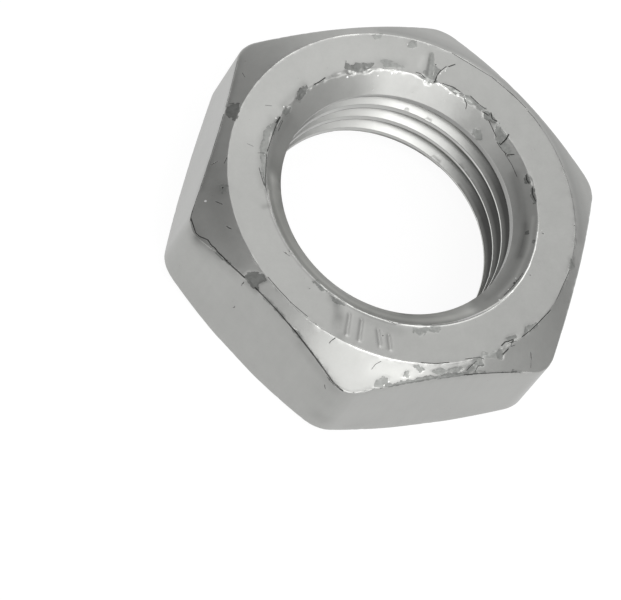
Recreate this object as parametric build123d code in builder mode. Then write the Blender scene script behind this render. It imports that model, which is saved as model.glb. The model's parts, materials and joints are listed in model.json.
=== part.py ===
from build123d import *
from math import radians, tan
import os

# Thin hexagon nut with an M22 x 2 right-hand thread, 32 mm across flats and 10 mm thick.
# It lies on its lower bearing face. The origin is the middle of that face, +Z is the
# thread's axis, and +Y is square to one of the flats. All lengths are millimetres.

# Hexagon bar that the nut is turned from
across_flats = 32.0
thickness = 10.0
corner_radius = 2.4

# Thread: its crests stand at the top of the 6H tolerance band. One groove's middle passes the
# +X direction at this height.
thread_diameter = 22.0
thread_pitch = 2.0
crest_allowance = 0.28
thread_angle = 60.0
groove_height_on_x = 0.17

# Upper and lower countersink, each a little wider than the thread, with a slightly rolled mouth
upper_mouth_allowance = 1.5
upper_countersink_angle = 106.0
lower_mouth_allowance = 1.8
lower_countersink_angle = 90.0
mouth_radius = 0.3

# Upper side, with a washer-like bearing ring inside the flats
upper_face_step = 0.95
upper_chamfer_angle = 33.0

# Lower side, whose bearing face runs out to the flats and loses only its corners
lower_face_overlap = 0.05
lower_chamfer_angle = 29.0

# A turned edge is never knife sharp
edge_radius = 0.15

# An ISO metric internal thread is 5/8 of the sharp triangle deep, with a root P/8 wide. The groove
# is drawn from its root to a lip inside the bore, so that it cuts the crests clean.
flank_slope = tan(radians(thread_angle / 2))
thread_depth = 5 / 8 * thread_pitch / (2 * flank_slope)
minor_radius = thread_diameter / 2 - thread_depth + crest_allowance / 2
root_half_width = thread_pitch / 16
groove_lip_radius = minor_radius - thread_depth / 2
lip_half_width = root_half_width + (thread_diameter / 2 - groove_lip_radius) * flank_slope
upper_mouth_radius = (thread_diameter + upper_mouth_allowance) / 2
lower_mouth_radius = (thread_diameter + lower_mouth_allowance) / 2
upper_countersink_depth = (upper_mouth_radius - minor_radius) / tan(radians(upper_countersink_angle / 2))
lower_countersink_depth = (lower_mouth_radius - minor_radius) / tan(radians(lower_countersink_angle / 2))

upper_face_radius = across_flats / 2 - upper_face_step
lower_face_radius = across_flats / 2 + lower_face_overlap

# The turned outline runs past the hexagon's corners, which lie at 1.155 of the flats' distance
blank_radius = 0.65 * across_flats
upper_cone_drop = (blank_radius - upper_face_radius) * tan(radians(upper_chamfer_angle))
lower_cone_rise = (blank_radius - lower_face_radius) * tan(radians(lower_chamfer_angle))

with BuildPart() as nut:
    # Bar stock: a hexagon with drawn corners, standing on the lower bearing face
    with BuildSketch():
        RegularPolygon(radius=across_flats / 2, side_count=6, major_radius=False, rotation=0)
        fillet(vertices(), radius=corner_radius)
    extrude(amount=thickness)

    # Turned section, from the bore out past the corners: faces, chamfers, countersinks, bore
    with BuildSketch(Plane.XZ) as turned_section:
        with BuildLine():
            Polyline(
                (minor_radius, lower_countersink_depth),
                (lower_mouth_radius, 0),
                (lower_face_radius, 0),
                (blank_radius, lower_cone_rise),
                (blank_radius, thickness - upper_cone_drop),
                (upper_face_radius, thickness),
                (upper_mouth_radius, thickness),
                (minor_radius, thickness - upper_countersink_depth),
                close=True,
            )
        make_face()
        # The two mouths are the innermost corners that lie in the bearing faces
        end_corners = vertices().group_by(Axis.Y)[0] + vertices().group_by(Axis.Y)[-1]
        mouths = end_corners.sort_by(Axis.X)[:2]
        fillet(mouths, radius=mouth_radius)
        # The edge of the bearing ring, where the upper face turns into the chamfer
        ring_edge = vertices().group_by(Axis.Y)[-1].sort_by(Axis.X)[-1]
        fillet(ring_edge, radius=edge_radius)
    revolve(axis=Axis.Z, mode=Mode.INTERSECT)

    # Thread: one V groove with a flat root, swept up the bore and out through both countersinks
    groove_start = groove_height_on_x - thread_pitch
    with BuildLine() as groove_path:
        Helix(
            pitch=thread_pitch,
            height=thickness + 2 * thread_pitch,
            radius=thread_diameter / 2,
            center=(0, 0, groove_start),
        )
    with BuildSketch(Plane.XZ):
        with BuildLine():
            Polyline(
                (thread_diameter / 2, groove_start - root_half_width),
                (thread_diameter / 2, groove_start + root_half_width),
                (groove_lip_radius, groove_start + lip_half_width),
                (groove_lip_radius, groove_start - lip_half_width),
                close=True,
            )
        make_face()
    sweep(path=groove_path.line, is_frenet=True, mode=Mode.SUBTRACT)

nut.part.label = "nut"
os.makedirs("parts", exist_ok=True)
export_step(nut.part, "parts/nut.step")

straight_length = thickness - upper_countersink_depth - lower_countersink_depth
straight_middle = lower_countersink_depth + straight_length / 2
print("bore radius", round(minor_radius, 4))
print("straight bore length", round(straight_length, 4), "with its middle at", round(straight_middle, 4))
print("mouth radii", round(upper_mouth_radius, 4), round(lower_mouth_radius, 4))
print("bearing ring radius", round(upper_face_radius, 4))
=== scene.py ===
import json
import math

import bmesh
import bpy
import numpy as np
from mathutils import Matrix, Vector, noise


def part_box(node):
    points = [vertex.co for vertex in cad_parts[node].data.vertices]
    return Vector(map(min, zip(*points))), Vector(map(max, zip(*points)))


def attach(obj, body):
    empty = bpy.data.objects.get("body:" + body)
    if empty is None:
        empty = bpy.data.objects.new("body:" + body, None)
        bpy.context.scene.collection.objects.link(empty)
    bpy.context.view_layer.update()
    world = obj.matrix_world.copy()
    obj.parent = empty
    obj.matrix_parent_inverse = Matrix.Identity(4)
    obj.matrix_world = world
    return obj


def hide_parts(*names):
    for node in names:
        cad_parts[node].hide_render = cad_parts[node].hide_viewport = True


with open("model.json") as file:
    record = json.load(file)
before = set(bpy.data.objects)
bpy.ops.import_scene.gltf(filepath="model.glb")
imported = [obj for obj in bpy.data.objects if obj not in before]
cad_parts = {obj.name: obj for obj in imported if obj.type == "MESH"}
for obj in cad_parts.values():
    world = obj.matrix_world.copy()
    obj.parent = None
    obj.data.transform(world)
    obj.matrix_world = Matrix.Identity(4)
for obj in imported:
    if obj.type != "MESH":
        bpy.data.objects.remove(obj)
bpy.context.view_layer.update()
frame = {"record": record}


# Camera
# A long lens looks down on the nut as the photograph does, from 57 degrees above the table. The
# camera is rolled, so the nut's axis leans to the right in the picture.
camera_azimuth = math.radians(42.027)
camera_elevation = math.radians(56.730)
camera_roll = math.radians(36.788)
camera_distance = 0.37917
camera_aim = Vector((0.008221, 0.006109, 0.005))


def direction(azimuth, elevation):
    """Unit vector that points this way from the nut, both angles in radians."""
    level_share = math.cos(elevation)
    return Vector((math.cos(azimuth) * level_share, math.sin(azimuth) * level_share, math.sin(elevation)))


def put_in_scene(name, data):
    """Makes an object of this camera, mesh or lamp, and puts it in the scene."""
    thing = bpy.data.objects.new(name, data)
    bpy.context.scene.collection.objects.link(thing)
    return thing


camera_data = bpy.data.cameras.new("camera")
camera_data.lens = 271.75
camera_data.sensor_width = 36.0
camera_data.clip_start = 0.05
camera_data.clip_end = 5.0
camera = put_in_scene("camera", camera_data)
towards_camera = direction(camera_azimuth, camera_elevation)
camera_turn = (-towards_camera).to_track_quat("-Z", "Y").to_matrix() @ Matrix.Rotation(camera_roll, 3, "Z")
camera_place = camera_aim + towards_camera * camera_distance
camera.matrix_world = Matrix.Translation(camera_place) @ camera_turn.to_4x4()
bpy.context.scene.camera = camera


# Nut
# One piece of steel turned from hexagon bar, chamfered, bored, countersunk and tapped, then zinc
# plated. It is drawn as one closed skin of rings that run round the thread's axis.
nut_low, nut_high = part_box("nut")
thickness = nut_high[2] - nut_low[2]
half_flats = (nut_high[1] - nut_low[1]) / 2
corner_radius = 0.0024
upper_face_radius = half_flats - 0.00095
lower_face_radius = half_flats + 0.00005
upper_chamfer_angle = math.radians(33.0)
lower_chamfer_angle = math.radians(29.0)
upper_mouth_radius = 0.01175
lower_mouth_radius = 0.0119
upper_cone_slope = math.radians(90.0 - 106.0 / 2)
lower_cone_slope = math.radians(90.0 - 90.0 / 2)
mouth_roll = 0.0003
ring_roll = 0.00015
edge_roll = 0.0002
foot_roll = 0.00012
foot_roll_growth = 0.15
merge_distance = 2e-6

thread_mount = next(m for m in frame["record"]["mounts"] if m["name"] == "thread")
minor_radius = thread_mount["dims"]["r_mm"] / 1000
thread_pitch = 0.002
thread_root_radius = 0.011
crest_height_at_zero = 0.00117

columns = 720
angles = np.linspace(0.0, 2 * np.pi, columns, endpoint=False)


def flat_distance(angle):
    """Distance from the axis to the hexagon's outline with its rounded corners."""
    from_normal = np.abs((angle % (np.pi / 3)) - np.pi / 6)
    from_corner = np.pi / 6 - from_normal
    arc_centre = (half_flats - corner_radius) / math.cos(math.pi / 6)
    arc_start = math.atan2(arc_centre * math.sin(math.pi / 6), half_flats)
    on_flat = half_flats / np.cos(from_normal)
    inside = np.maximum(corner_radius ** 2 - (arc_centre * np.sin(from_corner)) ** 2, 0.0)
    on_arc = arc_centre * np.cos(from_corner) + np.sqrt(inside)
    return np.where(from_normal > arc_start, on_arc, on_flat)


def upper_edge(angle):
    """Height at which a flat ends and the upper chamfer starts."""
    return thickness - (flat_distance(angle) - upper_face_radius) * math.tan(upper_chamfer_angle)


def lower_edge(angle):
    """Height at which a flat ends and the lower chamfer starts, zero along most of the flat."""
    return np.maximum(flat_distance(angle) - lower_face_radius, 0.0) * math.tan(lower_chamfer_angle)


outline = flat_distance(angles)
rings = []


def add_ring(radius, height):
    """Adds one ring of points, a radius and a height for each column."""
    rings.append((np.broadcast_to(radius, columns).copy(), np.broadcast_to(height, columns).copy()))


def shares_between(count):
    """This many even steps between 0 and 1, without the two ends."""
    return np.linspace(0.0, 1.0, count + 2)[1:-1]


def add_arc(centre_radius, centre_height, arc_radius, start, end, steps):
    """Adds rings on a small arc in the section, from one angle to the other, in radians."""
    for turn in np.linspace(start, end, steps):
        add_ring(centre_radius + arc_radius * math.cos(turn), centre_height + arc_radius * math.sin(turn))


# Lower bearing face, the lower chamfers at the corners, and the six flats between rolled edges
lower_face_start = lower_mouth_radius + mouth_roll * math.tan(lower_cone_slope / 2)
corner_excess = np.maximum(outline - lower_face_radius, 0.0)
foot_rolls = foot_roll + foot_roll_growth * corner_excess
foot = outline - foot_rolls
roll_start = foot + foot_rolls * math.sin(lower_chamfer_angle)
bearing_reach = np.where(roll_start > lower_face_radius, lower_face_radius, foot)
for share in (0.0, 0.3, 0.65, 0.9, 1.0):
    add_ring(lower_face_start + (bearing_reach - lower_face_start) * share, 0.0)
reach = (bearing_reach + roll_start) / 2
add_ring(reach, np.maximum(reach - lower_face_radius, 0.0) * math.tan(lower_chamfer_angle))
above_chamfer = (foot - lower_face_radius) * math.tan(lower_chamfer_angle)
foot_height = np.maximum(foot_rolls, above_chamfer + foot_rolls / math.cos(lower_chamfer_angle))
add_arc(foot, foot_height, foot_rolls, lower_chamfer_angle - math.pi / 2, 0.0, 5)
edge_tangent = edge_roll * math.tan(math.pi / 4 - upper_chamfer_angle / 2)
flat_top = upper_edge(angles) - edge_tangent
for share in shares_between(10):
    add_ring(outline, foot_height + (flat_top - foot_height) * share)
add_arc(outline - edge_roll, flat_top, edge_roll, 0.0, math.pi / 2 - upper_chamfer_angle, 4)

# The upper chamfer climbs to the rolled edge of the bearing ring
chamfer_foot = outline - edge_roll * (1 - math.sin(upper_chamfer_angle))
ring_tangent = ring_roll * math.tan(upper_chamfer_angle / 2)
chamfer_top = upper_face_radius + ring_tangent * math.cos(upper_chamfer_angle)
for share in shares_between(19):
    radius = chamfer_foot + (chamfer_top - chamfer_foot) * share
    add_ring(radius, thickness - (radius - upper_face_radius) * math.tan(upper_chamfer_angle))
ring_start = upper_face_radius - ring_tangent
add_arc(ring_start, thickness - ring_roll, ring_roll, math.pi / 2 - upper_chamfer_angle, math.pi / 2, 3)

# Bearing ring, finer towards the mouth, the rolled mouth, and the countersink down to the thread
finer_inward = 1.3
face_start = upper_mouth_radius + mouth_roll * math.tan(upper_cone_slope / 2)
for share in shares_between(28):
    add_ring(ring_start + (face_start - ring_start) * (1 - (1 - share) ** finer_inward), thickness)
add_arc(face_start, thickness - mouth_roll, mouth_roll, math.pi / 2, math.pi / 2 + upper_cone_slope, 4)
cone_start = face_start - mouth_roll * math.sin(upper_cone_slope)
for share in shares_between(7):
    radius = cone_start + (thread_root_radius - cone_start) * share
    add_ring(radius, thickness - (upper_mouth_radius - radius) * math.tan(upper_cone_slope))
outer_rings = rings

# Lower countersink and mouth, without the mouth's last ring, which is the lower face's first
rings = []
lower_cone_start = lower_face_start - mouth_roll * math.sin(lower_cone_slope)
for share in shares_between(3):
    radius = thread_root_radius + (lower_cone_start - thread_root_radius) * share
    add_ring(radius, (lower_mouth_radius - radius) * math.tan(lower_cone_slope))
add_arc(lower_face_start, mouth_roll, mouth_roll, 3 * math.pi / 2 - lower_cone_slope, 3 * math.pi / 2, 4)
rings.pop()
lower_rings = rings

# Thread: rows follow the helix, from the upper countersink down to the lower one. A row that runs
# past either end is held there, and its doubled points are merged afterwards. The crests are worn
# wider towards the upper side, and the last groove there fades before it reaches the countersink.
thread_columns = columns // 2
thread_angles = angles[::2]
upper_end = thickness - (upper_mouth_radius - thread_root_radius) * math.tan(upper_cone_slope)
lower_end = (lower_mouth_radius - thread_root_radius) * math.tan(lower_cone_slope)
groove_fade_start = 0.0078
groove_fade_end = 0.0083
deeper_side = math.radians(150.0)
narrowest_share = 0.34
lowest_crest_half = 0.00024
crest_widening = 0.022
flank_slope = math.tan(math.radians(30.0))
flank_steps = (-0.00005, 0.00002, 0.0002, 0.0004, 0.00055)


def crest_half_width(height, angle):
    """Half the width of a crest, which narrows on the side that the tap cut deeper."""
    narrow = np.clip(1.35 * (0.5 + 0.5 * np.cos(angle - deeper_side)) - 0.2, 0.0, 1.0)
    return (lowest_crest_half + crest_widening * height) * (1 - (1 - narrowest_share) * narrow)


def crest_height(angle):
    """Height of the middle of the lowest crest, which climbs one pitch each turn."""
    return crest_height_at_zero + thread_pitch * angle / (2 * np.pi)


def upper_cone(height):
    """Radius of the upper countersink at this height."""
    return upper_mouth_radius - (thickness - height) / math.tan(upper_cone_slope)


def lower_cone(height):
    """Radius of the lower countersink at this height."""
    return lower_mouth_radius - height / math.tan(lower_cone_slope)


def thread_radius(height, angle):
    """Radius of the thread at this height, before the countersinks open it."""
    above_crest = (height - crest_height(angle)) % thread_pitch
    from_crest = np.minimum(above_crest, thread_pitch - above_crest)
    groove_height = height - above_crest + thread_pitch / 2
    fade = np.clip((groove_fade_end - groove_height) / (groove_fade_end - groove_fade_start), 0.0, 1.0)
    depth = (from_crest - crest_half_width(height, angle)) / flank_slope
    return minor_radius + np.clip(depth, 0.0, thread_root_radius - minor_radius) * fade


def bore_radius(height, angle):
    """Radius of the finished bore: the thread, opened by the two countersinks."""
    return np.maximum(thread_radius(height, angle), np.maximum(upper_cone(height), lower_cone(height)))


def half_rows(crest):
    """Distances from a crest's middle to the rows on one side of it, down its flank."""
    width = crest_half_width(crest, thread_angles)
    return [width * 0] + [width + step for step in flank_steps]


turns_up = math.ceil(upper_end / thread_pitch) + 1
rows = []
for turn in range(-2, turns_up):
    crest = crest_height(thread_angles) + thread_pitch * turn
    following = crest + thread_pitch
    rows += [crest + step for step in half_rows(crest)]
    rows.append(crest + thread_pitch / 2)
    rows += [following - step for step in half_rows(following)[:0:-1]]
rows_per_pitch = len(rows) // (turns_up + 2)
row_heights = np.clip(np.array(rows[::-1]), lower_end, upper_end)

# The row point nearest to a line where thread and countersink meet is moved onto that line. Where
# the line passes on to the next row, it runs across a four-sided face, which is split along it.
on_line = np.zeros(row_heights.shape, bool)
for cone in (upper_cone, lower_cone):
    gap = thread_radius(row_heights, thread_angles) - cone(row_heights)
    clearance = merge_distance / 2
    inside = (row_heights > lower_end + clearance) & (row_heights < upper_end - clearance)
    crosses = (gap[:-1] * gap[1:] < 0) & inside[:-1] & inside[1:]
    for row, column in zip(*np.nonzero(crosses)):
        share = gap[row, column] / (gap[row, column] - gap[row + 1, column])
        height = row_heights[row, column] * (1 - share) + row_heights[row + 1, column] * share
        nearest = row if share < 0.5 else row + 1
        row_heights[nearest, column] = height
        on_line[nearest, column] = True
row_radii = bore_radius(row_heights, thread_angles)


def ring_points(radii, heights, around):
    """Points in space of a block of rings, given by their radii, heights and angles."""
    x, y = radii * np.cos(around), radii * np.sin(around)
    return np.stack(np.broadcast_arrays(x, y, heights), axis=-1).reshape(-1, 3)


points = np.concatenate([
    ring_points(*zip(*outer_rings), angles),
    ring_points(row_radii, row_heights, thread_angles),
    ring_points(*zip(*lower_rings), angles),
])
thread_first = len(outer_rings) * columns
lower_first = thread_first + len(row_radii) * thread_columns


def joined(here, there):
    """Four-sided faces between two rings of equally many points."""
    return np.stack([here, np.roll(here, -1), np.roll(there, -1), there], axis=1).tolist()


def joined_to_coarse(fine, coarse):
    """Three triangles for each pair of points, between a ring and one with half as many."""
    first, middle, last = fine[::2], fine[1::2], np.roll(fine, -2)[::2]
    following = np.roll(coarse, -1)
    triangles = (first, middle, coarse), (middle, last, following), (middle, following, coarse)
    return np.concatenate([np.stack(corners, axis=1) for corners in triangles]).tolist()


faces = []
column_ids = np.arange(columns)
thread_ids = np.arange(thread_columns)
for ring in range(len(outer_rings) - 1):
    faces += joined(ring * columns + column_ids, (ring + 1) * columns + column_ids)
faces += joined_to_coarse((len(outer_rings) - 1) * columns + column_ids, thread_first + thread_ids)
for row in range(len(row_radii) - 1):
    # One turn on, a row has become the row one pitch higher, which is earlier in this list
    after = [max(row - rows_per_pitch, 0), max(row + 1 - rows_per_pitch, 0)]
    here = thread_first + row * thread_columns + thread_ids
    there = here + thread_columns
    here_after, there_after = np.roll(here, -1), np.roll(there, -1)
    here_after[-1] = thread_first + after[0] * thread_columns
    there_after[-1] = thread_first + after[1] * thread_columns
    quads = np.stack([here, here_after, there_after, there], axis=1)
    marked = on_line.reshape(-1)[quads - thread_first]
    falling = (marked == (True, False, True, False)).all(axis=1)
    rising = (marked == (False, True, False, True)).all(axis=1)
    faces += quads[~falling & ~rising].tolist()
    for split, triangles in ((falling, ((0, 1, 2), (0, 2, 3))), (rising, ((0, 1, 3), (1, 2, 3)))):
        for corners in triangles:
            faces += quads[split][:, corners].tolist()
lower_ids = lower_first + column_ids
faces += joined_to_coarse(lower_ids, lower_first - thread_columns + thread_ids)
for ring in range(len(lower_rings) - 1):
    faces += joined(lower_ids + ring * columns, lower_ids + (ring + 1) * columns)
faces += joined(lower_ids + (len(lower_rings) - 1) * columns, column_ids)

nut_mesh = bpy.data.meshes.new("nut_skin")
nut_mesh.from_pydata(points.tolist(), [], faces, shade_flat=False)
skin = bmesh.new()
skin.from_mesh(nut_mesh)
bmesh.ops.remove_doubles(skin, verts=skin.verts, dist=merge_distance)
bmesh.ops.recalc_face_normals(skin, faces=skin.faces)
skin.to_mesh(nut_mesh)
skin.free()

# Wear
# The plating is bruised and chipped round the mouth, along the edges and on the chamfers. Each mark
# is a short path or outline over the surface, given in degrees round the axis and millimetres. The
# skin is pressed in there, and keeps its distances from the marks, by which the finish is shaded.
# A mark is measured within a few millimetres of it, and 5 mm counts as far from any mark.
# Besides wear, some marks are painted shade and painted light: along edges, in the countersink and the
# thread, and as glints
mm = 0.001
measured_within = 3.0
beyond = 99.0
far = 5.0
touching = 0.01 * mm
skin_count = len(nut_mesh.vertices)


def read_skin(values, name):
    """One vector for each point of the skin."""
    numbers = np.empty(skin_count * 3)
    values.foreach_get(name, numbers)
    return numbers.reshape(-1, 3)


place = read_skin(nut_mesh.vertices, "co")
outward = read_skin(nut_mesh.vertex_normals, "vector")
skin_radius = np.hypot(place[:, 0], place[:, 1])
skin_height = place[:, 2].copy()
skin_angle = np.arctan2(place[:, 1], place[:, 0]) % (2 * np.pi)
skin_degrees = np.degrees(skin_angle)


def grain(size, seed):
    """Smooth noise over the skin, about -1 to 1, with waves about this many millimetres long."""
    shift = Vector((seed * 7.3, seed * 3.1, seed * 5.7))
    return np.array([noise.noise(Vector(point) / (size * mm) + shift) for point in place.tolist()])


def on_wall(azimuth, height, radius=None):
    """A place on a flat or a rounded corner, or at this radius on another wall."""
    turn = math.radians(azimuth)
    radius = radius or float(flat_distance(turn)) / mm
    return Vector((radius * math.cos(turn), radius * math.sin(turn), height)) * mm


def on_top(azimuth, radius):
    """A place on the upper side at this radius: chamfer, bearing ring or countersink."""
    outer_drop = max(radius - upper_face_radius / mm, 0.0) * math.tan(upper_chamfer_angle)
    inner_drop = max(upper_mouth_radius / mm - radius, 0.0) * math.tan(upper_cone_slope)
    return on_wall(azimuth, thickness / mm - outer_drop - inner_drop, radius)


def path_on_top(places):
    """A path or outline over the upper side, given as (azimuth, radius)."""
    return [on_top(*place_on_top) for place_on_top in places]


def on_crest(azimuth, height):
    """A place on a crest of the thread."""
    return on_wall(azimuth, height, minor_radius / mm)


def azimuths_between(first, last, apart):
    """Azimuths from the first to the last, about this many degrees apart."""
    steps = max(int(abs(last - first) / apart), 1)
    return [first + (last - first) * step / steps for step in range(steps + 1)]


def along_edge(first, last, drop=0.0):
    """Places along the edge between flats and upper chamfer, or this far below it."""
    turns = azimuths_between(first, last, apart=2.5)
    return [on_wall(turn, float(upper_edge(math.radians(turn))) / mm - drop) for turn in turns]


def along_ring(first, last, radius):
    """Places along a circle on the upper side."""
    return [on_top(turn, radius) for turn in azimuths_between(first, last, apart=3)]


def path_gap(path):
    """Distance of the skin from a path, and how far to its left or right, both in millimetres."""
    path = np.array([list(point) for point in path])
    gap = np.full(skin_count, beyond)
    side = np.full(skin_count, beyond)
    low = path.min(axis=0) - measured_within * mm
    high = path.max(axis=0) + measured_within * mm
    close = np.nonzero(((place > low) & (place < high)).all(axis=1))[0]
    for start, end in zip(path[:-1], path[1:]):
        line = end - start
        length = np.linalg.norm(line)
        from_start = place[close] - start
        share = np.clip(from_start @ line / length ** 2, 0.0, 1.0)
        distance = np.linalg.norm(from_start - share[:, None] * line, axis=1) / mm
        across = np.einsum("ij,ij->i", np.cross(line / length, from_start), outward[close]) / mm
        nearer = distance < gap[close]
        gap[close[nearer]] = distance[nearer]
        side[close[nearer]] = across[nearer]
    return gap, side


def patch_gap(corners):
    """Distance of the skin from the rim of a patch, less than zero inside it, in millimetres."""
    half_of_widest = 1.5
    off_plane = 0.8 * mm
    gap = path_gap([*corners, corners[0]])[0]
    close = np.nonzero(gap < half_of_widest)[0]
    corners = np.array([list(corner) for corner in corners])
    middle = corners.mean(axis=0)
    from_middle = corners - middle
    normal = np.cross(from_middle, np.roll(from_middle, -1, axis=0)).sum(axis=0)
    normal /= np.linalg.norm(normal)
    across = from_middle[0] / np.linalg.norm(from_middle[0])
    upward = np.cross(normal, across)
    x, y = (place[close] - middle) @ across, (place[close] - middle) @ upward
    level = np.abs((place[close] - middle) @ normal) < off_plane
    inside = np.zeros(len(close), bool)
    outline_x, outline_y = from_middle @ across, from_middle @ upward
    for corner in range(len(corners)):
        from_x, from_y = outline_x[corner - 1], outline_y[corner - 1]
        to_x, to_y = outline_x[corner], outline_y[corner]
        spans = (from_y > y) != (to_y > y)
        inside ^= spans & (x < (to_x - from_x) * (y - from_y) / ((to_y - from_y) or 1e-12) + from_x)
    within = close[inside & level]
    gap[within] *= -1
    return gap


def smooth(value):
    """Eases a share from 0 to 1."""
    value = np.clip(value, 0.0, 1.0)
    return value * value * (3 - 2 * value)


coarse_grain = grain(1.6, 1)
middle_grain = grain(0.7, 2)
fine_grain = grain(0.35, 3)
pressed = np.zeros(skin_count)

# Mouth: knocked into a narrow ragged facet on part of its round, wider where it took more blows,
# given as (azimuth, width in millimetres)
mouth_bruise = [
    (0, 0), (30, 0), (36, 0.08), (42, 0.1), (48, 0.06), (60, 0.03), (75, 0.08), (84, 0.08), (88, 0),
    (168, 0), (174, 0.12), (182, 0.18), (187, 0), (222, 0), (226, 0.15), (232, 0.2), (237, 0.1),
    (246, 0.2), (250, 0.05), (262, 0.1), (270, 0.3), (277, 0.3), (282, 0.1), (296, 0.1), (302, 0.15),
    (306, 0.1), (313, 0.2), (320, 0.2), (326, 0.1), (338, 0.06), (346, 0.06), (351, 0.05), (355, 0.05),
    (358, 0.1), (360, 0),
]
bruise_width = np.interp(skin_degrees, *zip(*mouth_bruise))
bruise_width = bruise_width * (1 + 0.6 * middle_grain + 0.5 * fine_grain)
bruise_slope = 0.33
bruise_reach = upper_mouth_radius / mm + bruise_width - skin_radius / mm
facet_height = thickness / mm - bruise_slope * bruise_reach
at_mouth = (skin_radius < upper_face_radius - mm) & (skin_height > upper_end + 0.1 * mm)
knocked = at_mouth & (bruise_width > 0.02) & (bruise_reach > 0)
mouth_drop = np.where(knocked, np.maximum(skin_height / mm - facet_height, 0.0), 0.0)
place[:, 2] -= mouth_drop * mm

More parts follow.
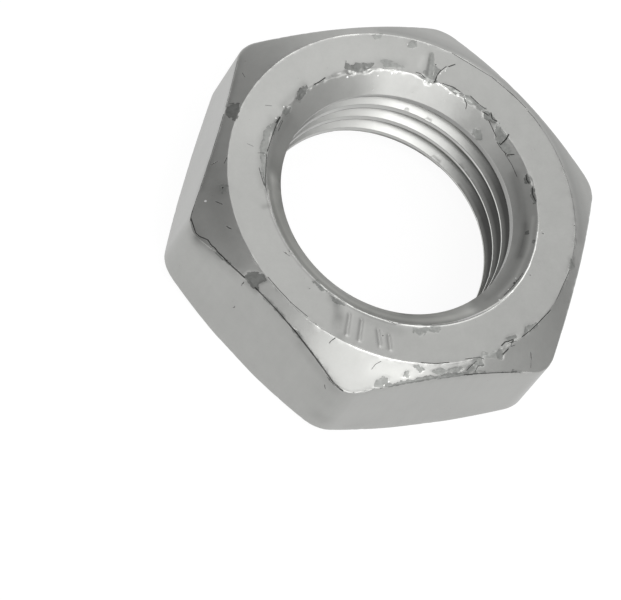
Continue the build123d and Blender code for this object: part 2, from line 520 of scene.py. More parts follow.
# Flaked and chipped patches: how much of the metal's brightness is left, depth, and outline as
# (azimuth, radius) round the upper side
patches = [
    # Nick, and the mouth from there round to the right
    (0.84, 0.01, [(244, 14.2), (242.8, 14.3), (241.2, 12.9), (241, 12.05), (240, 11.6), (245.2, 11.65),
                  (244.8, 12.2), (243.5, 12.7)]),
    (0.68, 0.01, [(241.2, 13), (240.2, 13.1), (238.6, 12.95), (239.5, 12.4), (239.5, 11.75),
                  (240.2, 11.6), (241, 12.05)]),
    (0.66, 0.02, [(235.8, 11.8), (233.2, 11.95), (230.5, 11.95), (228.5, 11.8), (229, 11.6),
                  (232, 11.6)]),
    (0.72, 0.02, [(225.8, 11.85), (224, 12.1), (221.2, 12), (219, 11.95), (216.8, 12.05), (216.8, 11.75),
                  (219.2, 11.65), (221, 11.65), (223.5, 11.5), (225, 11.5)]),
    (0.56, 0.03, [(216.2, 11.75), (214.8, 12.05), (213, 12.05), (210.2, 11.9), (210.2, 11.6),
                  (212.8, 11.5), (214.8, 11.5)]),
    (0.72, 0.02, [(208.5, 11.6), (207.5, 11.75), (206, 11.65), (202.5, 11.85), (201.5, 11.4),
                  (201.5, 11.15), (202.2, 10.95), (204.5, 11.05)]),
    (0.84, 0.01, [(201.5, 11), (201, 11.4), (198.2, 11.45), (195, 11.35), (195.8, 11.1), (198.5, 11.05)]),
    (0.52, 0.02, [(184.5, 11.45), (183, 11.7), (180.8, 11.65), (181.5, 11.4)]),
    (0.58, 0.02, [(179, 11.6), (177.5, 11.75), (173, 11.75), (171.2, 11.65), (173.5, 11.5)]),
    # Mouth, from the top round by the left to the near side
    (0.56, 0.02, [(277.8, 12.15), (276.8, 12.5), (276, 12.4), (275, 12.2), (272.5, 12.4), (269.8, 12.25),
                  (265.5, 12.3), (267, 11.95), (269.5, 11.75), (271.2, 11.55), (274.5, 11.75),
                  (277, 12)]),
    (0.88, 0.01, [(262.8, 12.5), (260.2, 12.65), (256.5, 12.35), (253, 12.2), (257, 11.95),
                  (260.8, 11.95)]),
    (0.50, 0.02, [(305.5, 11.8), (303.5, 12), (300.5, 12.15), (297.8, 12.1), (298.2, 11.85), (301, 11.6),
                  (304, 11.45)]),
    (0.72, 0.02, [(325, 12), (320.5, 12.1), (317.2, 11.95), (318, 11.75), (322, 11.65), (325.8, 11.7)]),
    (0.80, 0.01, [(334, 12.4), (326, 12.45), (322, 12.2), (330, 11.98), (342.8, 11.72), (349.5, 11.9),
                  (343.5, 12.12)]),
    (0.70, 0.02, [(314.5, 11.8), (311.2, 11.9), (309.8, 11.6), (311.5, 11.45), (314.5, 11.55)]),
    (0.66, 0.02, [(34, 12), (34.8, 11.45), (37, 11.75), (40.5, 11.85), (38.8, 12.1), (36, 12.1)]),
    (0.68, 0.02, [(42.5, 12.05), (46.8, 11.9), (48.8, 12.05), (46.5, 12.2), (43.5, 12.2)]),
    (0.78, 0.01, [(77.5, 11.9), (80.2, 12), (83.8, 11.8), (89, 11.85), (87.5, 12.3), (83.5, 12.2),
                  (80, 12.65), (77.8, 12.4)]),
    # Countersink
    (0.70, 0.02, [(214.5, 10.4), (212.2, 10.65), (209.4, 10.5), (208.6, 10.25), (210.5, 10.1),
                  (213.4, 10.15)]),
    (0.55, 0.01, [(157.5, 10.9), (159, 10.95), (158.8, 11.1), (157.6, 11.1)]),
    (0.60, 0.01, [(153, 11.5), (154.2, 11.5), (154, 11.65), (152.8, 11.6)]),
    # Bearing ring and its edge
    (0.80, 0.01, [(251.5, 14.5), (250.5, 14.85), (249, 14.85), (248.8, 14.5), (250, 14.2),
                  (251.5, 14.2)]),
    (0.82, 0.01, [(263.8, 14.85), (262.2, 14.95), (260, 15.25), (261.5, 14.65), (263.2, 14.55)]),
    (0.60, 0.03, [(110.8, 14.55), (112.2, 14.45), (115, 14.6), (114.8, 14.75), (113, 14.8),
                  (111.2, 14.75)]),
    (0.64, 0.03, [(119.8, 14.6), (121.8, 14.65), (123.8, 15), (123.5, 15.2), (120.5, 15.05),
                  (117.2, 15.05), (118.8, 14.85)]),
    (0.68, 0.02, [(151.5, 14.85), (152, 15.05), (150, 15.4), (148.2, 15.05)]),
    (0.84, 0.01, [(100.8, 14.7), (102.8, 15), (105.2, 15.05), (104.8, 15.4), (102, 15.25), (100.2, 15)]),
    # Chamfers
    (0.50, 0.02, [(324.2, 15.95), (321.2, 15.9), (320.8, 15.3), (323, 15.02), (327.4, 15.02),
                  (325.4, 15.75)]),
    (0.50, 0.03, [(19, 16.15), (19, 15.75), (20.2, 15.45), (22, 15.15), (23.8, 15.2), (23.2, 15.75),
                  (24.5, 16.05), (22.5, 16.3), (20.2, 16.25)]),
    (0.60, 0.02, [(67, 17.15), (67, 16.75), (68.5, 16.4), (70.2, 16.35), (70.2, 16.65), (68.8, 17.05)]),
    (0.68, 0.03, [(105.5, 15.2), (107, 15), (107.8, 15.15), (108, 15.45), (107, 15.7), (105.8, 15.6)]),
    (0.72, 0.02, [(97.2, 15.1), (100.2, 15.05), (100, 15.65), (98.2, 15.6), (97, 15.4)]),
    (0.74, 0.02, [(96.6, 15.45), (97.2, 15.8), (95.8, 15.95), (94.6, 15.75), (95.2, 15.5)]),
    (0.66, 0.02, [(74.2, 16.1), (75, 15.75), (75.8, 15.65), (75.8, 16)]),
    (0.66, 0.02, [(77.2, 15.3), (78.5, 15.2), (80.2, 15.5), (79.2, 15.7)]),
    (0.74, 0.02, [(83, 15.55), (85.5, 15.4), (88, 15.55), (91, 15.4), (93, 15.55), (91.5, 15.75),
                  (88.5, 15.65), (85.5, 15.8)]),
    (0.84, 0.01, [(350.2, 15.7), (350, 15.4), (351.2, 15.1), (352.8, 15.25), (352.5, 15.6)]),
]

# Beside two corners the chamfer's lower edge is torn into a ragged line: brightness left, half-width
# and path
torn_edge = [
    (0.60, 0.10, along_edge(62, 70, -0.1)),
    (0.60, 0.22, along_edge(70, 92, -0.1)),
    (0.60, 0.14, along_edge(92, 101, -0.05)),
    (0.60, 0.07, along_edge(101, 112)),
    (0.56, 0.10, along_edge(368, 374, 0.05)),
    (0.62, 0.08, along_edge(386, 404, 0.05)),
]
torn_depth = 0.03
flake_rim = 0.16
flakes = [
    (tone, depth, patch_gap(path_on_top(corners)) + 0.05 * middle_grain - 0.05)
    for tone, depth, corners in patches
]
flakes += [
    (tone, torn_depth, path_gap(path)[0] - half_width - 0.22 * middle_grain - 0.16 * coarse_grain)
    for tone, half_width, path in torn_edge
]
flake_gap = np.full(skin_count, far)
flake_tone = np.ones(skin_count)
for tone, depth, gap in flakes:
    pressed += depth * smooth(0.5 - gap / flake_rim)
    nearer = gap < flake_gap
    flake_gap[nearer] = gap[nearer]
    flake_tone[nearer] = tone

# A nick in the ring: one broad shallow wedge that opens into the mouth, with a small dent on each
# side, given as half-width and depth at its start, the same at its end, and path
gouges = [
    (0.16, 0.03, 0.50, 0.12, [(243.2, 14.1), (242.2, 11.65)]),
    (0.05, 0.02, 0.20, 0.06, [(246.8, 12), (244.5, 11.8)]),
    (0.05, 0.01, 0.16, 0.05, [(239.8, 13), (239.9, 11.7)]),
]
gouge_gap = np.full(skin_count, far)
for start_half, start_depth, end_half, end_depth, path in gouges:
    path = path_on_top(path)
    gap = path_gap(path)[0]
    first, line = np.array(path[0]), np.array(path[-1]) - np.array(path[0])
    share = np.clip((place - first) @ line / (line @ line), 0.0, 1.0)
    half_width = start_half + (end_half - start_half) * share
    depth = start_depth + (end_depth - start_depth) * share
    sunk = np.clip(1 - gap / half_width + 0.1 * fine_grain, 0.0, 1.0)
    pressed += depth * sunk * (gap < half_width * 1.2)
    gouge_gap = np.minimum(gouge_gap, gap - half_width)

# Four plain strokes stamped beside the mouth, and a shallow field that was pressed with them
stroke_depth = 0.07
stroke_half = 0.15
field_depth = 0.025
for path in (
    [(52.3, 12.55), (54, 14.3)],
    [(57.3, 12.55), (58.4, 14.3)],
    [(64, 12.9), (65.6, 14.1)],
    [(68.2, 13.1), (69.2, 14.2)],
):
    pressed += stroke_depth * np.exp(-(path_gap(path_on_top(path))[0] / stroke_half) ** 2)
field_gap = path_gap(path_on_top([(48.5, 12.4), (50.5, 14)]))[0] - 0.45
pressed += field_depth * smooth(0.5 - (field_gap + 0.1 * middle_grain) / 0.6)

# Hairline cracks and scratches: half-width and path as (azimuth, radius) round the upper side
hairlines_and_shaded_edges = [
    # Nick and its burr
    (0.03, [(247.2, 11.95), (245.5, 11.95), (244.4, 11.8)]),
    (0.032, [(239.6, 11.8), (239.5, 12.35), (238.8, 12.85), (237.5, 13.4)]),
    (0.05, [(235.9, 13.75), (235, 14)]),
    # Mouth and countersink, right of the nick
    (0.035, [(235.5, 11.85), (232, 12), (229.5, 11.95)]), (0.032, [(223.5, 12.12), (220.6, 12.02)]),
    (0.022, [(218.6, 12.02), (216.8, 12.05)]), (0.028, [(225, 11.55), (223.8, 11.45), (223.2, 11.25)]),
    (0.045, [(216, 11.7), (214.6, 11.75)]), (0.045, [(213.4, 12.05), (211.8, 11.8), (210.6, 11.9)]),
    (0.028, [(211.8, 11.5), (209, 11.35), (206, 11.2)]),
    (0.06, [(202.5, 11.85), (201.8, 11.55), (201.5, 11.15)]),
    (0.042, [(198.2, 10.97), (196, 11.05), (195, 11.35)]),
    (0.022, [(202.5, 10.97), (196.8, 10.97), (191, 11), (186, 10.98)]),
    (0.04, [(184, 11.6), (182.5, 11.5), (181, 11.55)]),
    (0.04, [(178, 11.7), (175.5, 11.6), (173, 11.68)]),
    # Mouth, elsewhere
    (0.05, [(293.4, 11.8), (291.2, 11.8), (289, 11.87)]),
    (0.032, [(124, 11.5), (130.5, 11.53), (136.5, 11.58)]), (0.045, [(131.5, 11.42), (133.5, 11.55)]),
    (0.04, [(317.5, 11.88), (320, 11.92)]), (0.03, [(318, 11.5), (321.5, 11.45)]),
    (0.016, [(336, 12.4), (335.7, 12.2)]),
    (0.034, [(317.5, 11.84), (322, 11.78), (328, 11.76), (333.5, 11.8)]),
    (0.026, [(336.5, 11.8), (342, 11.76), (347, 11.8), (350, 11.86)]),
    (0.024, [(343.2, 12.3), (348, 12.05), (351.5, 11.8)]), (0.014, [(334, 13.4), (334.1, 13.2)]),
    (0.028, [(63, 11.55), (70, 11.85), (78, 11.6)]), (0.018, [(20, 12.2), (19, 12.3)]),
    (0.014, [(315.8, 13.25), (315.3, 13.08)]),
    # Edge of the bearing ring
    (0.03, [(24, 14.93), (29, 14.9), (34, 14.93), (40, 14.9)]),
    (0.035, [(80, 15), (84, 15.05), (88, 15)]),
    (0.05, [(112.6, 14.8), (111.2, 14.75), (110.2, 14.66), (108.8, 14.76)]),
    (0.024, [(113.2, 15.05), (111.8, 15), (111, 15.22), (112.2, 15.25)]),
    (0.045, [(130.5, 15.12), (127.2, 15.06), (123.8, 15.06), (120.5, 15.07), (117, 15.06)]),
    (0.024, [(136, 15.05), (147, 15.06)]), (0.034, [(216, 14.98), (212, 15.02), (208, 15.05)]),
    (0.026, [(236, 15), (222, 15), (216, 14.98)]), (0.028, [(205.5, 15), (203, 15.06), (200.5, 15.04)]),
    # Chamfers
    (0.05, [(357.5, 17.95), (2, 17.9), (3.2, 17.74), (5, 17.28), (6.8, 17.2), (8, 17.04), (9.5, 16.96),
            (12.5, 16.7)]),
    (0.03, [(342.8, 16.1), (342.3, 15.85)]), (0.03, [(342.4, 15.22), (341.6, 15.15)]),
    (0.022, [(309.3, 16.4), (309.9, 16.2)]), (0.032, [(355.3, 15.95), (356, 15.75)]),
    (0.045, [(3.8, 15.72), (4.2, 15.64)]), (0.028, [(50.5, 15.5), (50.6, 15.4), (50.9, 15.25)]),
    (0.016, [(65, 15.95), (65.4, 15.7), (66.3, 15.5)]),
    (0.022, [(95, 14.92), (97, 14.97), (98.8, 15), (100.2, 15.2)]),
    (0.022, [(97.5, 15.3), (96.2, 15.45), (94.8, 15.65)]),
    (0.022, [(99.8, 15.65), (98.2, 15.6), (97.4, 15.85)]), (0.055, [(108.2, 15.4), (109.8, 15.28)]),
    (0.045, [(117, 16.5), (116.5, 16.8)]), (0.018, [(116.5, 16.8), (115.5, 17.2)]),
]
hairlines_and_shaded_edges = [(half_width, path_on_top(path)) for half_width, path in hairlines_and_shaded_edges]
hairlines_and_shaded_edges += [
    (0.040, [on_wall(55, 7.1), on_wall(55.4, 6.85), on_wall(55.9, 6.7)]),
    (0.024, [on_wall(18, 4.7), on_wall(19.4, 4.4)]),
    (0.024, [on_wall(20, 8.3), on_wall(20.2, 8)]),
    (0.030, [on_wall(22, 5.25), on_wall(22.1, 5.1)]),
    # Dark lines along the edge between flats and upper chamfer: painted shade, in place of the rolled
    # edge's dark reflection
    (0.040, along_edge(354, 358)),
    (0.075, along_edge(372, 379)),
    (0.065, along_edge(384, 398)),
    (0.085, along_edge(398, 419)),
    (0.028, along_edge(306, 322)),
    (0.040, along_edge(326, 356)),
    (0.045, along_edge(94, 111)),
]
hairline_and_edge_shade_gap = np.full(skin_count, far)
hairline_and_edge_shade_side = np.full(skin_count, far)
for half_width, path in hairlines_and_shaded_edges:
    gap, side = path_gap(path)
    nearer = gap < hairline_and_edge_shade_gap
    hairline_and_edge_shade_gap[nearer] = gap[nearer]
    hairline_and_edge_shade_side[nearer] = side[nearer] / half_width

# Small pits, and specks of bare metal painted bright as glints: size, azimuth and radius round the
# upper side
pits = [
    (0.08, 4, 15.68), (0.06, 19, 12.25), (0.06, 19, 11.85), (0.05, 35, 12.75), (0.07, 44, 15),
    (0.06, 138, 12.2), (0.06, 158, 12.25), (0.04, 159, 12.05), (0.07, 174, 15.1), (0.06, 164, 15),
    (0.10, 351, 15.45), (0.06, 66, 13.2), (0.05, 276.5, 12.75), (0.06, 329, 15.9), (0.06, 241, 13.3),
    (0.05, 287, 14.1), (0.05, 212.5, 12.2), (0.05, 208.5, 12), (0.04, 216.5, 12.15),
]
glint_specks = [
    (0.10, 354, 16.75), (0.09, 278, 11.4), (0.07, 276, 11.5), (0.05, 336, 12), (0.14, 208.8, 10.62),
    (0.15, 228.8, 11.6), (0.10, 232, 11.45), (0.09, 241, 11.45), (0.08, 234.5, 11.6), (0.07, 237, 13.1),
    (0.06, 235.6, 13.6), (0.08, 134, 11.35), (0.08, 127, 11.4), (0.09, 120, 11.5), (0.05, 312, 12.1),
    (0.06, 318.5, 12.1), (0.08, 252, 14.4), (0.09, 258, 11.5), (0.08, 256, 11.6), (0.07, 264, 11.3),
    (0.05, 323, 12.2), (0.06, 70.5, 16.6), (0.07, 69.5, 16.9), (0.10, 237.8, 11.65), (0.08, 243.5, 11.5),
    (0.08, 225.5, 11.7),
]


def spots_on_top(spots):
    """Round spots on the upper side as (size, place)."""
    return [(size, on_top(azimuth, radius)) for size, azimuth, radius in spots]


def nearest_spot(spots):
    """Distance of the skin from the rim of the nearest of these round spots, in millimetres."""
    gap = np.full(skin_count, far)
    for size, spot in spots:
        gap = np.minimum(gap, np.linalg.norm(place - np.array(spot), axis=1) / mm - size)
    return gap


pit_gap = nearest_spot(spots_on_top(pits) + [(0.05, on_wall(22, 5.2)), (0.04, on_wall(57, 6.6))])
glint_speck_gap = nearest_spot(spots_on_top(glint_specks) + [
    (0.12, on_crest(272.75, 3.55)), (0.10, on_crest(216.75, 2.85)), (0.07, on_crest(222, 2.7)),
    (0.08, on_crest(210.5, 5.05)),
])
pit_depth = 0.04
pit_rim = 0.08
pressed += pit_depth * smooth(-pit_gap / pit_rim)

# Soft stains, and painted shade and light: each darkens the plating a little, or brightens it where its
# strength is less than zero: radius, strength and path. The shade is painted along parts of the edges,
# on the chamfers and in the countersink, and the light mostly on the countersink's near side
stains_and_painted_light = [
    (0.5, 0.16, [(46.5, 12.2), (49.5, 13.2)]), (0.45, 0.14, [(49.5, 13.2), (52.5, 14.8)]),
    (0.5, 0.10, [(58, 12.2), (72, 12.4)]), (0.5, 0.16, [(351, 15.4), (352, 15.5)]),
    (0.4, 0.12, [(263, 12.3), (254, 12.5)]), (0.35, 0.16, [(298, 12.3), (312, 12.2)]),
    (0.5, 0.06, [(244.5, 13), (243.5, 13.8)]), (0.4, 0.12, [(43.5, 12.2), (46, 12.4)]),
    (0.35, 0.13, [(320, 12.35), (330, 12.5), (345, 12.25), (350, 12)]),
    (0.22, 0.20, [(359, 12.35), (358.5, 11.9)]),
    (0.5, 0.14, [(313, 11.2), (330, 11.3), (350, 11.3)]),
    (0.35, 0.30, [(187, 10.9), (174, 10.75), (160, 10.9), (146, 10.9)]),
    (0.16, -0.22, [(122, 11.25), (135, 11.3), (150, 11.35), (165, 11.45)]),
    (0.16, -0.30, [(120, 10.15), (135, 10.15), (152, 10.2)]),
    (0.25, -0.10, [(247, 12.6), (246, 13.6)]),
]
stains_and_painted_light = [(radius, strength, path_on_top(path)) for radius, strength, path in stains_and_painted_light]
stains_and_painted_light += [
    (0.9, 0.10, [on_wall(5, 7.6), on_wall(6.5, 7.4)]),
    (0.6, 0.14, [on_wall(1.0, 7.7), on_wall(3, 7.7)]),
    (0.8, 0.12, [on_wall(58.5, 2.9), on_wall(60.5, 2.8)]),
    (0.5, 0.08, [on_wall(69, 1.7), on_wall(72, 1.6)]),
    (1.2, 0.06, [on_wall(56, 5.5), on_wall(58, 5.5)]),
    (1.0, 0.05, [on_wall(329, 5), on_wall(331, 5)]),
    # Painted shade along the edge between flats and upper chamfer, on both sides of it
    (0.5, 0.14, along_edge(364, 376, 0.45)), (0.25, 0.32, along_edge(363, 371, 0.2)),
    (0.22, 0.35, along_edge(381, 384.5, 0.2)), (0.5, 0.10, along_edge(389, 404, 0.3)),
    (0.7, 0.12, along_edge(404, 417, 0.5)), (0.35, 0.26, along_edge(304, 322, -0.25)),
    (0.30, 0.16, along_edge(326, 350, -0.2)), (0.6, 0.10, along_edge(340, 352, 0.5)),
    # Painted shade and light in rings round the axis, on the chamfers, bearing ring and countersink
    (0.5, 0.19, along_ring(160, 260, 15.6)), (0.62, -1.0, along_ring(345, 466, 10.9)),
    (0.3, -0.75, along_ring(350, 470, 10.2)), (0.26, -0.4, along_ring(350, 440, 11.62)),
    (0.12, -0.35, along_ring(352, 445, 11.70)), (0.12, 0.32, along_ring(352, 430, 11.88)),
    (1.8, -0.07, along_ring(250, 325, 13.4)), (0.9, 0.10, along_ring(345, 375, 16)),
    (0.35, 0.18, along_ring(84, 96, 15.75)), (0.6, -0.18, along_ring(80, 96, 10.9)),
    (0.35, 0.15, along_ring(118, 162, 10.8)), (0.8, -0.13, along_ring(66, 76, 16)),
    (0.6, 0.10, along_ring(225, 256, 16.3)), (0.6, 0.11, along_ring(162, 198, 16.3)),
]
stain_and_painted_light = np.zeros(skin_count)
for radius, strength, path in stains_and_painted_light:
    stain_and_painted_light += strength * np.exp(-(path_gap(path)[0] / radius) ** 2)

# Distance from the nearest edge, all round the nut, along which the plating is rubbed, with a painted
# highlight
edge_radii_heights = [
    (upper_face_radius, thickness),
    (upper_mouth_radius, thickness),
    (lower_mouth_radius, 0.0),
    (flat_distance(skin_angle), upper_edge(skin_angle)),
    (flat_distance(skin_angle), lower_edge(skin_angle)),
]
edge_gap = np.full(skin_count, far)
for radius, height in edge_radii_heights:
    edge_gap = np.minimum(edge_gap, np.hypot(skin_radius - radius, skin_height - height) / mm)

# Small bumps along every edge, but for the right side of the mouth, which is still clean
clean_start = 86
clean_end = 166
clean_radius = 13 * mm
clean_mouth = (skin_degrees > clean_start) & (skin_degrees < clean_end) & (skin_radius < clean_radius)
bump_height = 0.03
bumps = bump_height * np.clip(middle_grain * 0.8 + fine_grain * 0.7, 0.0, 1.0)
pressed += np.where(clean_mouth, 0.0, bumps * np.exp(-(edge_gap / 0.22) ** 2))

# Painted glints: bright lines painted where the mouth and the burr catch the light: half-width and path
glints = [
    (0.060, [(86, 11.55), (94, 11.55), (103, 11.55)]),
    (0.095, [(98, 11.55), (103, 11.55), (112, 11.58), (120, 11.66), (127, 11.74)]),
    (0.060, [(127, 11.74), (134, 11.78), (141, 11.8), (150, 11.78), (158, 11.76)]),
    (0.030, [(241.2, 12.8), (240.8, 12)]),
    (0.035, [(238.9, 12.3), (238.2, 12.85), (236.8, 13.4)]),
]
glint_gap = np.full(skin_count, far)
for half_width, path in glints:
    glint_gap = np.minimum(glint_gap, path_gap(path_on_top(path))[0] - half_width)

# Thread: nicked crests, how far down a groove each point lies, how far it is from the lower corner
# of a crest, painted shade in the grooves round 158 degrees, and a painted sheen on the crests. The
# thread is full up to a little below the upper countersink. On the left its crests are painted duller.
full_thread_top = 7.6 * mm
flank_shade_middle = 158
flank_shade_spread = 40
left_start = 285
in_bore = (skin_height > lower_end) & (skin_height < upper_end)
in_bore &= skin_radius < thread_root_radius + touching
groove_share = np.where(in_bore, (skin_radius - minor_radius) / (thread_root_radius - minor_radius), 0.0)
on_cones = np.maximum(upper_cone(skin_height), lower_cone(skin_height)) > skin_radius - touching
groove_share = np.where(on_cones, 0.0, groove_share)
threaded = in_bore & (skin_height < full_thread_top)
crest_nicks = 0.05 * np.clip(coarse_grain + fine_grain - 0.6, 0.0, 1.0)
pressed += np.where(threaded & (groove_share < 0.08), crest_nicks, 0.0)
crest_foot = crest_height(skin_angle) - crest_half_width(skin_height, skin_angle)
past_foot = (skin_height - crest_foot) % thread_pitch
corner_gap = np.where(threaded & ~on_cones, np.minimum(past_foot, thread_pitch - past_foot) / mm, far)
# Painted shade in the thread's grooves, full within 24 degrees of 158 and gone beyond 64
flank_shade_turn = np.clip(1.6 - np.abs(skin_degrees - flank_shade_middle) / flank_shade_spread, 0.0, 1.0)
flank_shade = np.where(in_bore & ~on_cones, smooth(flank_shade_turn) * smooth(groove_share * 8.0), 0.0)
on_crests = in_bore & ~on_cones & (groove_share < 0.02)
left_crests = smooth((skin_degrees - left_start) / 15)
# Painted sheen on the thread's crests, strongest where the grooves are painted in shade. On the left it
# turns into a slight painted darkening, and above the full thread the crests are painted darker
crest_painted_sheen = 0.22 + 0.75 * smooth(flank_shade_turn) - 0.4 * left_crests
stain_and_painted_light -= np.where(on_crests, np.where(threaded, crest_painted_sheen, -0.2), 0.0)

place -= outward * (pressed * mm)[:, None]
for axis in range(3):
    place[:, axis] = np.clip(place[:, axis], nut_low[axis], nut_high[axis])
nut_mesh.vertices.foreach_set("co", place.reshape(-1))
nut_mesh.update()
measures = dict(
    flake_gap=flake_gap, flake_tone=flake_tone, hairline_and_edge_shade_gap=hairline_and_edge_shade_gap, hairline_and_edge_shade_side=hairline_and_edge_shade_side,
    pit_gap=pit_gap, glint_speck_gap=glint_speck_gap, stain_and_painted_light=stain_and_painted_light, edge_gap=edge_gap, groove_share=groove_share,
    gouge_gap=gouge_gap, corner_gap=corner_gap, flank_shade=flank_shade, glint_gap=glint_gap,
)
for name, values in measures.items():
    layer = nut_mesh.attributes.new(name, "FLOAT", "POINT")
    layer.data.foreach_set("value", values.astype(np.float32))
nut_mesh.set_sharp_from_angle(angle=math.radians(35.0))
nut = put_in_scene("nut_skin", nut_mesh)

# Finish
# Bright zinc over steel: a satin metal with faint clouds and grain, rubbed bare along the edges under a
# painted highlight, and dark where it has flaked. Painted shade and painted glints are worked into its
# colour too. Distances on the skin are in millimetres, and noise makes them ragged.
zinc = bpy.data.materials.new("zinc_plate")
zinc.use_nodes = True
zinc_nodes = zinc.node_tree.nodes
zinc_shader = zinc_nodes["Principled BSDF"]


def plug(value, socket):
    """Feeds a socket from another node's output, or sets it to a plain value."""
    if isinstance(value, bpy.types.NodeSocket):
        socket.id_data.links.new(value, socket)
    else:
        socket.default_value = value


def sum_up(operation, *values, nodes=zinc_nodes):
    """One step of arithmetic between numbers or outputs."""
    step = nodes.new("ShaderNodeMath")
    step.operation = operation
    for value, socket in zip(values, step.inputs):
        plug(value, socket)
    return step.outputs[0]


def add_parts(start, *parts):
    """Adds outputs to a start value, each times its share."""
    for output, share in parts:
        start = sum_up("MULTIPLY_ADD", output, share, start)
    return start


def fade(value, start, end):
    """Runs smoothly from 0 where the value is at the start to 1 where it is at the end."""
    step = zinc_nodes.new("ShaderNodeMapRange")
    step.interpolation_type = "SMOOTHSTEP"
    for value, socket in zip((value, start, end), step.inputs):
        plug(value, socket)
    return step.outputs[0]


def measured(name):
    """A distance or share that was kept on the skin."""
    layer = zinc_nodes.new("ShaderNodeAttribute")
    layer.attribute_name = name
    return layer.outputs["Fac"]


def speckle(wave, detail=2.0, rough=0.5, stretch=(1, 1, 1), shift=0.0):
    """Noise from -1 to 1 with waves about this many millimetres long, stretched along the axes."""
    spread = zinc_nodes.new("ShaderNodeMapping")
    plug(zinc_where, spread.inputs["Vector"])
    spread.inputs["Scale"].default_value = [1000 / wave / factor for factor in stretch]
    spread.inputs["Location"].default_value = (shift, shift * 0.7, shift * 1.3)
    waves = zinc_nodes.new("ShaderNodeTexNoise")
    waves.inputs["Scale"].default_value = 1.0
    waves.inputs["Detail"].default_value = detail
    waves.inputs["Roughness"].default_value = rough
    plug(spread.outputs[0], waves.inputs["Vector"])
    return sum_up("MULTIPLY_ADD", waves.outputs["Fac"], 2.0, -1.0)


zinc_where = zinc_nodes.new("ShaderNodeTexCoord").outputs["Object"]
cells = zinc_nodes.new("ShaderNodeTexVoronoi")
cells.inputs["Scale"].default_value = 1000 / 0.28
plug(zinc_where, cells.inputs["Vector"])
chip_cells = sum_up("SUBTRACT", cells.outputs["Color"], 0.5)
clouds = speckle(7.0, detail=3.0)
mottle = speckle(1.3, detail=4.0, shift=3.0)
grain_fine = speckle(0.22, detail=2.0, shift=5.0)
ragged = speckle(0.45, detail=4.0, rough=0.65, shift=9.0)
streaks = speckle(0.5, detail=3.0, stretch=(1, 1, 14), shift=7.0)


def ragged_rim(name, roughness, start, end):
    """Fades across the rim of marks that were kept on the skin, and makes it ragged."""
    return fade(add_parts(measured(name), (ragged, roughness)), start, end)


# Plating: its brightness varies by a few parts in a hundred, and falls or rises with stains and with
# painted shade and light. Shade is also painted deep in the thread's grooves
groove_root_shade = fade(measured("groove_share"), 0.7, 1.0)
level = add_parts(
    1.0, (clouds, 0.07), (mottle, 0.05), (grain_fine, 0.03), (streaks, 0.03), (measured("stain_and_painted_light"), -1.0),
    (groove_root_shade, -0.25),
)

# Flaked spots, angular where small chips have come away, with painted shade along undercut stretches of
# rim
flake_edge = add_parts(measured("flake_gap"), (ragged, 0.09), (chip_cells, 0.20))
flake = fade(flake_edge, 0.015, -0.02)
flake_patches = add_parts(1.0, (speckle(0.3, detail=3.0, shift=12.0), 0.22), (chip_cells, 0.25))
flake_level = sum_up("MULTIPLY", measured("flake_tone"), flake_patches)
undercut_shade = fade(sum_up("ABSOLUTE", flake_edge), 0.04, 0.01)
undercut_shade = sum_up("MULTIPLY", undercut_shade, fade(speckle(0.9, detail=2.0, shift=21.0), 0.05, 0.2))
undercut_shade = sum_up("MULTIPLY", undercut_shade, fade(measured("flake_tone"), 0.66, 0.56))

# Hairlines, and painted shade along parts of the edge between flats and upper chamfer, a fixed width each
# side of their path, broken here and there
hairline_and_edge_shade_reach = add_parts(sum_up("ABSOLUTE", measured("hairline_and_edge_shade_side")), (ragged, 0.5))
hairline_and_edge_shade = fade(hairline_and_edge_shade_reach, 1.25, 0.75)
hairline_and_edge_shade = sum_up("MULTIPLY", hairline_and_edge_shade, fade(measured("hairline_and_edge_shade_gap"), 0.24, 0.14))

# Pits, painted glints on specks and lines, the nick with a little painted shade in it, and painted shade
# as a dark line in the lower corner of each crest of the thread
pit = ragged_rim("pit_gap", 0.05, 0.02, -0.02)
glint_speck = ragged_rim("glint_speck_gap", 0.08, 0.02, -0.03)
glint = ragged_rim("glint_gap", 0.03, 0.02, -0.03)
# The nick is painted a little darker, as shade in its hollow
nick = ragged_rim("gouge_gap", 0.05, 0.0, -0.06)
crest_corner_shade = ragged_rim("corner_gap", 0.03, 0.13, 0.05)

# Rubbed edges, with a painted highlight on them, show as a thin brighter line that comes and goes
rub_and_highlight_patches = fade(speckle(2.2, detail=2.0, shift=15.0), -0.1, 0.35)
rub_and_highlight = sum_up("MULTIPLY", ragged_rim("edge_gap", 0.10, 0.16, 0.04), rub_and_highlight_patches)

# Every mark darkens or brightens the plating by its share
whole = add_parts(1.0, (flake, sum_up("SUBTRACT", flake_level, 1.0)))
level = add_parts(sum_up("MULTIPLY", level, whole), (rub_and_highlight, 0.30))
for mark, darkening in (
    (hairline_and_edge_shade, -0.8), (undercut_shade, -0.45), (crest_corner_shade, -0.78), (nick, -0.06), (measured("flank_shade"), -0.66),
    (pit, -0.65),
):
    level = sum_up("MULTIPLY", level, add_parts(1.0, (mark, darkening)))
# Painted glints on specks and lines brighten the plating
level = add_parts(level, (glint_speck, 1.6), (glint, 1.3))

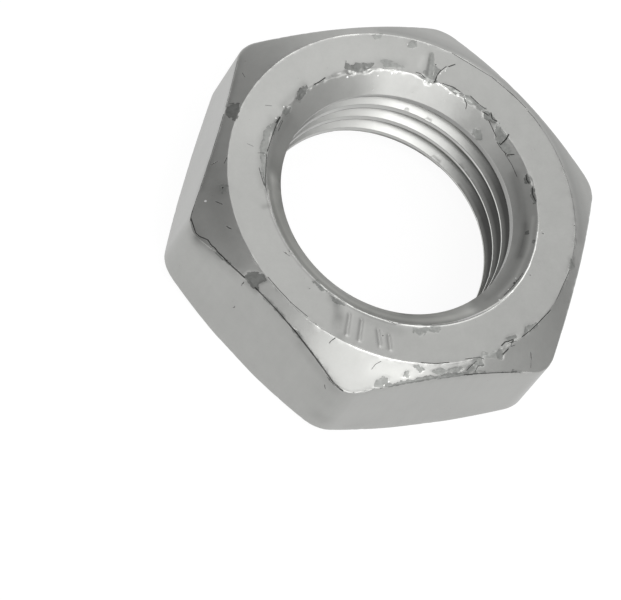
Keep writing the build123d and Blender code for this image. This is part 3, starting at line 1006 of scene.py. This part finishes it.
colour_mix = zinc_nodes.new("ShaderNodeMix")
colour_mix.data_type = "RGBA"
plated_colour = (0.430, 0.432, 0.419, 1.0)
flaked_colour = (0.426, 0.433, 0.418, 1.0)
for value, socket in zip((flake, plated_colour, flaked_colour), (0, 6, 7)):
    plug(value, colour_mix.inputs[socket])
zinc_colour = zinc_nodes.new("ShaderNodeVectorMath")
zinc_colour.operation = "SCALE"
plug(colour_mix.outputs[2], zinc_colour.inputs[0])
plug(level, zinc_colour.inputs["Scale"])
plug(zinc_colour.outputs[0], zinc_shader.inputs["Base Color"])
zinc_shader.inputs["Metallic"].default_value = 1.0

satin = add_parts(0.30, (mottle, 0.04), (grain_fine, 0.03), (flake, 0.12), (rub_and_highlight, -0.06))
plug(satin, zinc_shader.inputs["Roughness"])

# Relief, in hundredths of a millimetre: grain, shallow dimples, sunk flakes and cracks
relief = add_parts(
    0.0, (grain_fine, 0.05), (mottle, 0.25), (flake, -0.6), (hairline_and_edge_shade, -2.0), (pit, -2.0), (glint_speck, 1.0),
)
zinc_bump = zinc_nodes.new("ShaderNodeBump")
zinc_bump.inputs["Distance"].default_value = 0.01 * mm
plug(relief, zinc_bump.inputs["Height"])
plug(zinc_bump.outputs[0], zinc_shader.inputs["Normal"])

nut_mesh.materials.append(zinc)
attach(nut, "root")
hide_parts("nut")


# Floor
# A white sweep of board under the nut, turned up at its rim. It shows nearly white to the camera
# and in the nut's own reflections, and a share of it stays plain board, which takes the shadow.
floor_radius = 1.2
cove_height = 0.16
floor_sides = 96
flat_radius = floor_radius * 0.9
cove_turns = np.radians(np.linspace(0.0, 90.0, 9)[1:])
floor_radii = [floor_radius * 0.25, floor_radius * 0.6, flat_radius]
floor_radii += list(flat_radius + cove_height * np.sin(cove_turns))
floor_heights = [0.0, 0.0, 0.0] + list(cove_height * (1 - np.cos(cove_turns)))
floor_turns = np.linspace(0.0, 2 * np.pi, floor_sides, endpoint=False)
floor_points = [(0.0, 0.0, 0.0)]
for radius, height in zip(floor_radii, floor_heights):
    floor_points += ring_points(radius, height, floor_turns).tolist()
inner_ids = 1 + np.arange(floor_sides)
floor_faces = np.stack([0 * inner_ids, inner_ids, np.roll(inner_ids, -1)], axis=1).tolist()
for _ in floor_radii[1:]:
    floor_faces += joined(inner_ids + floor_sides, inner_ids)
    inner_ids = inner_ids + floor_sides
floor_mesh = bpy.data.meshes.new("floor")
floor_mesh.from_pydata(floor_points, [], floor_faces, shade_flat=False)
floor = put_in_scene("floor", floor_mesh)

board = bpy.data.materials.new("white_board")
board.use_nodes = True
board_nodes = board.node_tree.nodes
board_nodes.clear()
board_plain = board_nodes.new("ShaderNodeBsdfDiffuse")
board_plain.inputs["Color"].default_value = (0.86, 0.86, 0.86, 1)
board_glow = board_nodes.new("ShaderNodeEmission")
board_glow.inputs["Color"].default_value = (1, 1, 1, 1)
glow_in_reflections = 0.90
glow_more_for_camera = 0.18
glowing_share = 0.85
rays = board_nodes.new("ShaderNodeLightPath").outputs
seen = sum_up("MAXIMUM", rays["Is Camera Ray"], rays["Is Glossy Ray"], nodes=board_nodes)
glow_strength = sum_up(
    "MULTIPLY_ADD", rays["Is Camera Ray"], glow_more_for_camera, glow_in_reflections, nodes=board_nodes,
)
plug(glow_strength, board_glow.inputs["Strength"])
board_mix = board_nodes.new("ShaderNodeMixShader")
plug(sum_up("MULTIPLY", seen, glowing_share, nodes=board_nodes), board_mix.inputs["Fac"])
plug(board_plain.outputs[0], board_mix.inputs[1])
plug(board_glow.outputs[0], board_mix.inputs[2])
board_output = board_nodes.new("ShaderNodeOutputMaterial")
plug(board_mix.outputs[0], board_output.inputs["Surface"])
floor_mesh.materials.append(board)


# Light
# A plain grey room with eleven softboxes, each placed by its azimuth and elevation in degrees as seen
# from the nut, with its width and height in metres and its strength in watts.
world = bpy.data.worlds.new("studio")
world.use_nodes = True
world.node_tree.nodes["Background"].inputs["Color"].default_value = (0.418, 0.418, 0.418, 1)
bpy.context.scene.world = world
lamp_distance = 0.6
softboxes = [
    (0, 45, 0.30, 0.30, 0.039),
    (20, 57, 0.25, 0.30, 0.080),
    (60, 25, 0.40, 0.30, 0.953),
    (85, 66, 0.40, 0.25, 0.613),
    (95, 25, 0.40, 0.30, 0.465),
    (95, 50, 0.30, 0.30, 0.148),
    (130, 60, 0.40, 0.40, 0.539),
    (150, 30, 0.35, 0.35, 0.078),
    (222, 56, 0.45, 0.45, 0.244),
    (240, 30, 0.30, 0.30, 0.465),
    (245, 62, 0.30, 0.40, 0.134),
]
for number, (azimuth, elevation, width, height, watts) in enumerate(softboxes):
    lamp_data = bpy.data.lights.new(f"softbox_{number}", "AREA")
    lamp_data.shape = "RECTANGLE"
    lamp_data.size = width
    lamp_data.size_y = height
    lamp_data.energy = watts
    lamp = put_in_scene(f"softbox_{number}", lamp_data)
    lamp.location = lamp_distance * direction(math.radians(azimuth), math.radians(elevation))
    lamp.rotation_euler = lamp.location.to_track_quat("Z", "Y").to_euler()

bpy.context.scene.view_settings.view_transform = "Standard"
